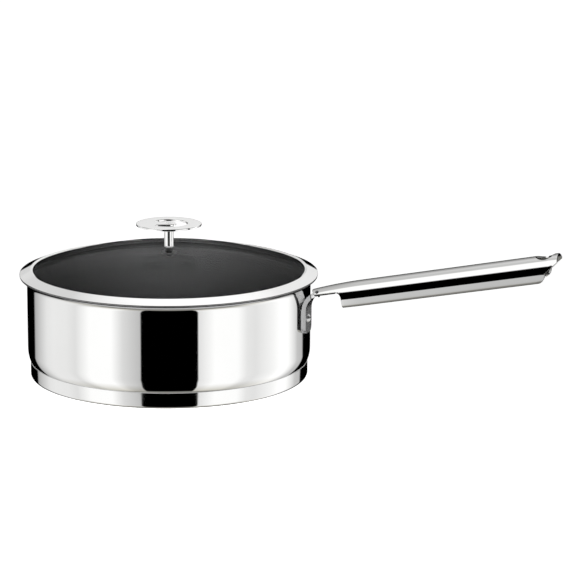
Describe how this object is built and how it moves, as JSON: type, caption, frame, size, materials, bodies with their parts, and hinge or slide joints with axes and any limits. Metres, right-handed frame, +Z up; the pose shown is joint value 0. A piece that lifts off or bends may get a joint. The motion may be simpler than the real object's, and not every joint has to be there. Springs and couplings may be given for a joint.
{
  "type": "saute pan with lid",
  "caption": "Deep polished steel saute pan with a sandwich base, a half-tube handle with a hanging hole, and a domed glass lid with a flat ring knob",
  "frame": {"origin": "middle of the base's flat underside, where it meets the hob", "axes": "+Z up along the pan's own axis, +X along the handle, +Y across it"},
  "size_m": [0.4659, 0.2548, 0.1315],
  "materials": {
    "polished_steel": "mirror-polished stainless steel; the pan's inside is dark coated",
    "satin_steel": "satin stainless-steel fasteners",
    "base_aluminium": "pressed aluminium disc, hidden",
    "silicone": "pale translucent silicone",
    "lid_glass": "clear toughened glass"
  },
  "bodies": {
    "pan": {"pan_shell": "polished_steel", "base_core": "base_aluminium", "base_cap": "polished_steel", "handle_bracket": "polished_steel", "wall_rivet": "polished_steel", "handle_grip": "polished_steel", "neck_rivet_right": "satin_steel", "neck_rivet_left": "satin_steel"},
    "lid": {"lid_glass": "lid_glass", "lid_band": "polished_steel", "knob_ring": "polished_steel", "knob_stem": "polished_steel", "knob_gasket_upper": "silicone", "knob_gasket_lower": "silicone", "knob_washer": "satin_steel", "knob_screw": "satin_steel"}
  },
  "joints": [
    {"name": "lid_lift", "type": "slide", "parent": "pan", "child": "lid", "axis": [0, 0, 1], "range_m": [0, 0.15]}
  ]
}
